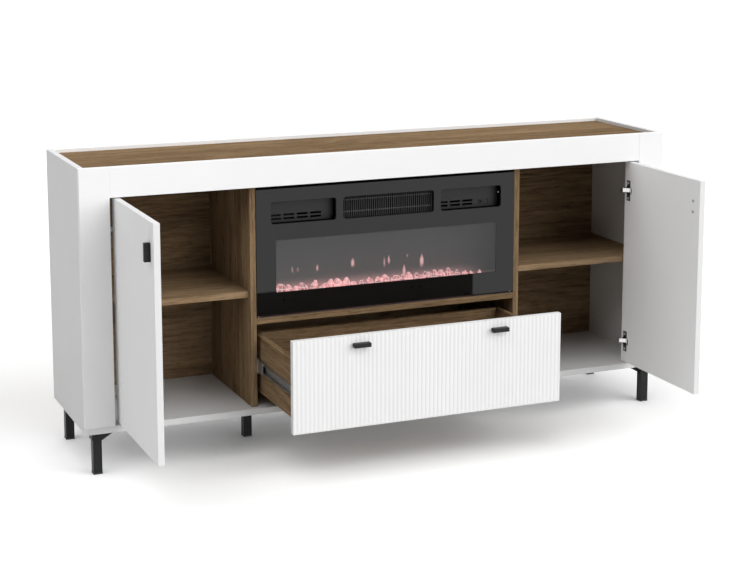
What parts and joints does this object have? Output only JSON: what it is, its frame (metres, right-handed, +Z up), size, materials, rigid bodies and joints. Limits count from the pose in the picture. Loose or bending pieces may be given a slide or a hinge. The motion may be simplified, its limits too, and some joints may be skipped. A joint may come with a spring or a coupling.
{
  "type": "fireplace tv stand",
  "caption": "White TV stand with oak shelves, open fluted doors, a pulled-out drawer, an electric fireplace with a glowing crystal bed, and black metal legs.",
  "frame": {"origin": "on the floor under the middle of the carcass", "axes": "+X to the right along the front, +Y to the back, +Z up; the doors and drawer face -Y"},
  "size_m": [1.85, 0.787, 0.87],
  "materials": {
    "white_laminate": "smooth white laminate with a soft sheen",
    "oak_laminate": "matte oak decor with fine grain",
    "backing_sheet": "thin hardboard with oak decor, matte",
    "black_coated_steel": "matte black powder coat",
    "black_plastic": "matte black plastic",
    "zinc_plated_steel": "bright zinc plating",
    "galvanised_steel": "satin galvanised sheet",
    "black_glass": "glossy glass, printed black round a clear window",
    "black_sheet": "satin black sheet metal",
    "heater_alloy": "plain finned alloy",
    "flame_diffuser": "frosted grey screen",
    "clear_tray": "frosted clear plastic",
    "crystal_glass": "clear faceted pieces lit pink from below",
    "lamp_strip": "lamp strip with pink and red lamps",
    "circuit_board": "coated board with parts",
    "switch_plastic": "glossy black plastic",
    "motor_can": "plain painted can",
    "blower_alloy": "plain rolled alloy",
    "mirror_foil": "bright foil on a rod"
  },
  "bodies": {
    "cabinet": {"bottom_panel": "white_laminate", "left_side_panel": "white_laminate", "right_side_panel": "white_laminate", "front_posts": "white_laminate", "top_front_rail": "white_laminate", "top_back_rail": "white_laminate", "top_panel": "oak_laminate", "left_divider": "oak_laminate", "right_divider": "oak_laminate", "middle_shelf": "oak_laminate", "side_shelves": "oak_laminate", "back_panel": "backing_sheet", "hinge_stiles": "white_laminate", "shelf_pins": "zinc_plated_steel", "front_legs": "black_coated_steel", "middle_legs": "black_coated_steel", "rear_legs": "black_coated_steel", "foot_caps": "black_plastic", "hinge_plates": "zinc_plated_steel", "hinge_arms": "zinc_plated_steel", "hinge_pins": "zinc_plated_steel", "cabinet_screws": "zinc_plated_steel", "slide_rails": "galvanised_steel", "fire_glass": "black_glass", "fire_front_plate": "black_sheet", "vent_pans": "black_sheet", "air_grille": "black_sheet", "fire_housing": "black_sheet", "fire_loft_plate": "black_sheet", "heater_duct": "galvanised_steel", "heater_element": "heater_alloy", "flame_screen": "flame_diffuser", "crystal_tray": "clear_tray", "crystals": "crystal_glass", "led_strip": "lamp_strip", "control_board": "circuit_board", "switch_case": "switch_plastic", "cord_inlet": "black_plastic", "bearing_brackets": "galvanised_steel", "drive_motors": "motor_can"},
    "left_door": {"left_door_panel": "white_laminate", "left_door_handle": "black_coated_steel", "left_door_screws": "zinc_plated_steel", "left_hinge_cups": "zinc_plated_steel"},
    "right_door": {"right_door_panel": "white_laminate", "right_door_handle": "black_coated_steel", "right_door_screws": "zinc_plated_steel", "right_hinge_cups": "zinc_plated_steel"},
    "drawer": {"drawer_front": "white_laminate", "drawer_sides": "oak_laminate", "drawer_back": "oak_laminate", "drawer_bottom": "backing_sheet", "drawer_handles": "black_coated_steel", "drawer_screws": "zinc_plated_steel", "slide_runners": "galvanised_steel"},
    "slide_middle": {"slide_middles": "galvanised_steel"},
    "blower": {"blower_wheel": "blower_alloy"},
    "flame_spindle": {"flame_spindle": "mirror_foil"},
    "power_switch": {"power_switch": "switch_plastic"}
  },
  "joints": [
    {"name": "left_door_swing", "type": "hinge", "parent": "cabinet", "child": "left_door", "pos_m": [-0.818, -0.191, 0.461], "axis": [0, 0, 1], "range_deg": [-5, 90]},
    {"name": "right_door_swing", "type": "hinge", "parent": "cabinet", "child": "right_door", "pos_m": [0.818, -0.191, 0.461], "axis": [0, 0, -1], "range_deg": [-5, 90]},
    {"name": "drawer_slide", "type": "slide", "parent": "cabinet", "child": "drawer", "axis": [0, -1, 0], "range_m": [-0.28, 0.06]},
    {"name": "slide_middle_travel", "type": "slide", "parent": "cabinet", "child": "slide_middle", "axis": [0, -1, 0], "range_m": [-0.042, 0.009]},
    {"name": "blower_spin", "type": "hinge", "parent": "cabinet", "child": "blower", "pos_m": [0, -0.0978, 0.7012], "axis": [1, 0, 0], "continuous": true},
    {"name": "flame_spin", "type": "hinge", "parent": "cabinet", "child": "flame_spindle", "pos_m": [0, -0.0778, 0.4612], "axis": [1, 0, 0], "continuous": true},
    {"name": "power_switch_rock", "type": "hinge", "parent": "cabinet", "child": "power_switch", "pos_m": [0.323, -0.15047, 0.68705], "axis": [0, 0, 1], "range_deg": [0, 14]}
  ],
  "couplings": [
    {"joint": "slide_middle_travel", "follows": "drawer_slide", "ratio": 0.15}
  ]
}
